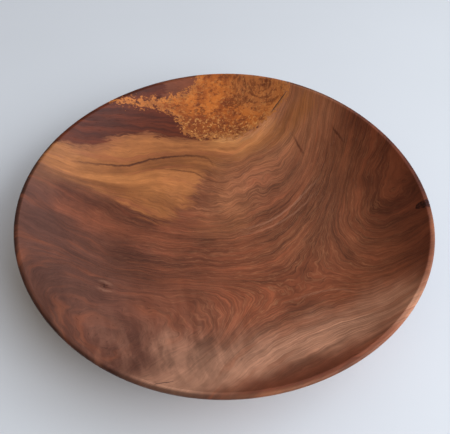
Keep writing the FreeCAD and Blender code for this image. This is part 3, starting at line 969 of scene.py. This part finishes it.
def bake_map(piece, places):
    """Texture coordinates for baked looks: the inside takes most of the map, the outside a corner of it."""
    lip_top = int(np.argmax(SECTION[:, 0] > RIM_RADIUS - 0.6))
    ring = np.minimum(np.arange(len(places)) // BEARINGS, len(SECTION))
    bearing = np.arctan2(places[:, 1], places[:, 0])
    length = np.append(SECTION_LENGTH, [0, SECTION_LENGTH[-1]])[ring]
    length[-1] = SECTION_LENGTH[-1]
    length[-2] = 0
    split = SECTION_LENGTH[lip_top]
    layer = piece.data.uv_layers.new(name="OFBake")
    loops = np.empty(len(piece.data.loops), int)
    piece.data.loops.foreach_get("vertex_index", loops)
    starts = np.empty(len(piece.data.polygons), int)
    piece.data.polygons.foreach_get("loop_start", starts)
    totals = np.empty(len(piece.data.polygons), int)
    piece.data.polygons.foreach_get("loop_total", totals)
    face_of = np.repeat(np.arange(len(starts)), totals)
    middle = np.zeros(len(starts))
    np.add.at(middle, face_of, length[loops])
    outside = (middle / totals > split)[face_of]
    x0, y0, inside_size = INSIDE_MAP
    x1, y1, outside_size = OUTSIDE_MAP
    share = length[loops] / (split + 1.0)
    under = (SECTION_LENGTH[-1] - length[loops]) / (SECTION_LENGTH[-1] - split + 1.0)
    angle = bearing[loops]
    u = np.where(outside, x1 + outside_size * under * np.cos(angle), x0 + inside_size * share * np.cos(angle))
    v = np.where(outside, y1 + outside_size * under * np.sin(angle), y0 + inside_size * share * np.sin(angle))
    layer.data.foreach_set("uv", np.column_stack([u, v]).astype(np.float32).ravel())


def make_patch(name, bearing, length, half_round, half_along, outline, lift, depth, material,
               turn=0.0, steps=28):
    """A piece that lies in the wood's surface, a little proud of it, and goes down into the wood.

    The outline gives the reach (0 to 1) for an angle round the patch's own middle."""
    rings = steps // 2
    angles = np.linspace(0, 2 * math.pi, steps * 2, endpoint=False)
    across = float(np.interp(length, SECTION_LENGTH, SECTION[:, 0]))
    reach = outline(angles)
    rows = []
    for ring in range(1, rings + 1):
        share = ring / rings
        u = half_round * reach * share * np.cos(angles)
        v = half_along * reach * share * np.sin(angles)
        around = bearing + (u * math.cos(turn) - v * math.sin(turn)) / across
        along = length + u * math.sin(turn) + v * math.cos(turn)
        rise = lift * (1 - share ** 6)
        rows.append(surface_point(around, along) + surface_normal(around, along) * rise)
    rim_round = bearing + (half_round * reach * np.cos(angles) * math.cos(turn)
                           - half_along * reach * np.sin(angles) * math.sin(turn)) / across
    rim_along = length + half_round * reach * np.cos(angles) * math.sin(turn) \
        + half_along * reach * np.sin(angles) * math.cos(turn)
    rows.append(surface_point(rim_round, rim_along) - surface_normal(rim_round, rim_along) * depth)
    middle = surface_point(np.array([bearing]), np.array([length]))
    normal = surface_normal(np.array([bearing]), np.array([length]))
    ends = np.vstack([middle + normal * lift, middle - normal * depth])
    return closed_skin(name, np.vstack(rows), len(angles), ends, material)


def ragged_outline(seed, spread, pinch=1.0):
    """An uneven outline: waves of random phase on an ellipse. pinch below 1 makes pointed ends."""
    chance = np.random.default_rng(seed)
    phases = chance.uniform(0, 2 * math.pi, 5)
    sizes = chance.uniform(0.4, 1.0, 5) * spread

    def outline(angles):
        wave = sum(size / (count + 2) * np.sin((count + 2) * angles + phase)
                   for count, (size, phase) in enumerate(zip(sizes, phases)))
        return (1 + wave) * pinch ** np.abs(np.sin(angles))

    return outline


PROUD = 0.06
KNOT_DEPTH = 1.2
CHECK_DEPTH = 0.8
CHECK_HALF_WIDTH = 0.3
RESIN_BLEED = 0.15


def rim_knot_reach():
    """The lengths along the section where the rim knot comes out inside the bowl and outside the wall."""
    foot = int(np.argmin(SECTION[LIP_TOP:, 1])) + LIP_TOP
    lowest = RIM_KNOT_LOW[2]
    inside = np.interp(lowest, SECTION[:LIP_TOP, 1], SECTION_LENGTH[:LIP_TOP])
    outside = np.interp(-lowest, -SECTION[LIP_TOP:foot, 1], SECTION_LENGTH[LIP_TOP:foot])
    return float(inside), float(outside)


def make_knots():
    """The dead knot across the lip and the pin knot in the bowl, where the CAD has them."""
    dead_wood = knot_wood("dead_knot", (40, 13, 8), (84, 34, 22))
    brown_wood = knot_wood("pin_knot", (62, 30, 20), (104, 58, 40))
    middle = (RIM_KNOT_LOW + RIM_KNOT_HIGH) / 2
    inside, outside = rim_knot_reach()
    half_round = (RIM_KNOT_HIGH[1] - RIM_KNOT_LOW[1]) / 2
    rim_knot = make_patch("rim_knot_core", math.atan2(middle[1], middle[0]), (inside + outside) / 2,
                          half_round, (outside - inside) / 2, ragged_outline(5, 0.3), PROUD, KNOT_DEPTH,
                          dead_wood)
    stands_for("rim_knot")
    bearing, length = bowl_place(PIN_KNOT_MIDDLE)
    axis = surface_normal(np.array([bearing]), np.array([length]))[0]
    offsets = node_points("pin_knot") - PIN_KNOT_MIDDLE
    radius = np.linalg.norm(offsets - np.outer(offsets @ axis, axis), axis=1).max()
    pin_knot = make_patch("pin_knot_core", bearing, length, radius, radius, ragged_outline(8, 0.4), PROUD,
                          KNOT_DEPTH, brown_wood)
    stands_for("pin_knot")


def make_checks():
    """The dark fill in the two drying checks, each from end to end of its CAD solid."""
    resin = dark_fill()
    for name, ends in CHECK_ENDS.items():
        (first, first_length), (last, last_length) = [bowl_place(end) for end in ends]
        bearing, length = bowl_place((ends[0] + ends[1]) / 2)
        across = float(np.interp(length, SECTION_LENGTH, SECTION[:, 0]))
        round_, along = (last - first) * across, last_length - first_length
        turn = math.atan2(-round_, along)
        half_length = math.hypot(round_, along) / 2
        fill = make_patch(name, bearing, length, CHECK_HALF_WIDTH + RESIN_BLEED, half_length,
                          ragged_outline(len(name), 0.35), PROUD, CHECK_DEPTH, resin, turn)
        stands_for("check_fill")


FELT_STEPS = 160
FELT_FUZZ = 0.12


def make_felt():
    """The felt disc, with a soft uneven edge and a slightly uneven face."""
    angles = np.linspace(0, 2 * math.pi, FELT_STEPS, endpoint=False)
    chance = np.random.default_rng(11)
    low, high = FELT_LOW[2], FELT_TOP
    edge = 0.5
    profile = [(FELT_RADIUS * share, high) for share in np.linspace(0.08, 0.96, 12)]
    profile += [(FELT_RADIUS - edge, high), (FELT_RADIUS, high - edge), (FELT_RADIUS, low + edge),
                (FELT_RADIUS - edge, low)]
    profile += [(FELT_RADIUS * share, low) for share in np.linspace(0.96, 0.08, 12)]
    rows = []
    for across, up in profile:
        fuzz = chance.uniform(-FELT_FUZZ, FELT_FUZZ, FELT_STEPS) if across > 0.9 * FELT_RADIUS else 0
        rows.append(np.column_stack([(across + fuzz) * np.cos(angles), (across + fuzz) * np.sin(angles),
                                     np.full(FELT_STEPS, up)]))
    felt = closed_skin("felt_disc", np.vstack(rows), FELT_STEPS, [[0, 0, high], [0, 0, low]], green_felt())
    stands_for("foot_felt")


make_plate()
make_knots()
make_checks()
make_felt()

# ---------------------------------------------------------------------------------------------------------
# Floor, light and camera
# ---------------------------------------------------------------------------------------------------------
FLOOR_SIZE = 14.0
FLOOR_COLOUR = (212, 216, 222)


def make_floor():
    """A plain pale table top."""
    half = FLOOR_SIZE / 2
    mesh = bpy.data.meshes.new("table_top")
    corners = [(-half, -half, 0), (half, -half, 0), (half, half, 0), (-half, half, 0)]
    mesh.from_pydata(corners, [], [(0, 1, 2, 3)])
    n = Nodes("pale_table")
    place = n.place()
    cloud = n.noise(place, 0.004, 0.0, 3.0, 0.5)
    n.feed(n.shader.inputs["Base Color"], n.brighten(rgba(FLOOR_COLOUR)[:3], n.span(cloud, 0.96, 1.04)))
    n.shader.inputs["Roughness"].default_value = 0.9
    mesh.materials.append(n.material)
    floor = bpy.data.objects.new("table_top", mesh)
    bpy.context.scene.collection.objects.link(floor)


def area_light(name, place, aim, size, power, colour):
    """A soft rectangular light that faces a point."""
    data = bpy.data.lights.new(name, "AREA")
    data.shape = "RECTANGLE"
    data.size, data.size_y = size
    data.energy = power
    data.color = colour
    light = bpy.data.objects.new(name, data)
    light.location = place
    light.rotation_euler = (Vector(aim) - Vector(place)).to_track_quat("-Z", "Y").to_euler()
    bpy.context.scene.collection.objects.link(light)
    return light


BRIGHT_SIDE = (0.87, 0.17, 0.46)
ROOM_DARK = (0.315, 0.250, 0.180, 1.0)
ROOM_BRIGHT = (0.86, 0.96, 1.10, 1.0)


def make_room():
    """Soft light from all round: bright and cool from the window's side, dim and warm from the other."""
    world = bpy.data.worlds.new("room")
    world.use_nodes = True
    tree = world.node_tree
    direction = tree.nodes.new("ShaderNodeTexCoord").outputs["Generated"]
    facing = tree.nodes.new("ShaderNodeVectorMath")
    facing.operation = "DOT_PRODUCT"
    facing.inputs[1].default_value = BRIGHT_SIDE
    tree.links.new(direction, facing.inputs[0])
    share = tree.nodes.new("ShaderNodeMapRange")
    share.interpolation_type = "SMOOTHSTEP"
    share.inputs["From Min"].default_value = 0.0
    share.inputs["From Max"].default_value = 1.0
    tree.links.new(facing.outputs["Value"], share.inputs["Value"])
    ramp = tree.nodes.new("ShaderNodeValToRGB")
    ramp.color_ramp.elements[0].color = ROOM_DARK
    ramp.color_ramp.elements[1].color = ROOM_BRIGHT
    tree.links.new(share.outputs["Result"], ramp.inputs["Fac"])
    tree.links.new(ramp.outputs["Color"], tree.nodes["Background"].inputs["Color"])
    bpy.context.scene.world = world


CAMERA_ELEVATION = 50.4
CAMERA_DISTANCE = 0.486
CAMERA_AIM = (0.0005, -0.016, RIM_HEIGHT * MM)
CAMERA_ROLL = 0.7
CAMERA_VIEW = 40.0
SENSOR = 36.0


def make_camera():
    """The camera, at the near side, looking down into the plate."""
    elevation = math.radians(CAMERA_ELEVATION)
    back = Vector((0, -math.cos(elevation), math.sin(elevation)))
    right = Vector((1, 0, 0))
    up = back.cross(right)
    roll = math.radians(CAMERA_ROLL)
    rolled_right = right * math.cos(roll) + up * math.sin(roll)
    rolled_up = up * math.cos(roll) - right * math.sin(roll)
    data = bpy.data.cameras.new("camera")
    data.sensor_width = SENSOR
    data.lens = SENSOR / 2 / math.tan(math.radians(CAMERA_VIEW / 2))
    camera = bpy.data.objects.new("camera", data)
    turn = Matrix((rolled_right, rolled_up, back)).transposed()
    camera.matrix_world = Matrix.Translation(Vector(CAMERA_AIM) + back * CAMERA_DISTANCE) @ turn.to_4x4()
    bpy.context.scene.collection.objects.link(camera)
    bpy.context.scene.camera = camera


make_floor()
area_light("window", (1.3, 0.16, 1.05), (0, 0, 0.02), (1.1, 1.1), 11.5, (0.90, 0.96, 1.0))
area_light("near_window", (0.85, -0.75, 0.85), (0.05, -0.15, 0.0), (0.8, 0.8), 11.0, (0.97, 0.985, 1.0))
make_room()
bpy.context.scene.view_settings.view_transform = "Standard"
make_camera()
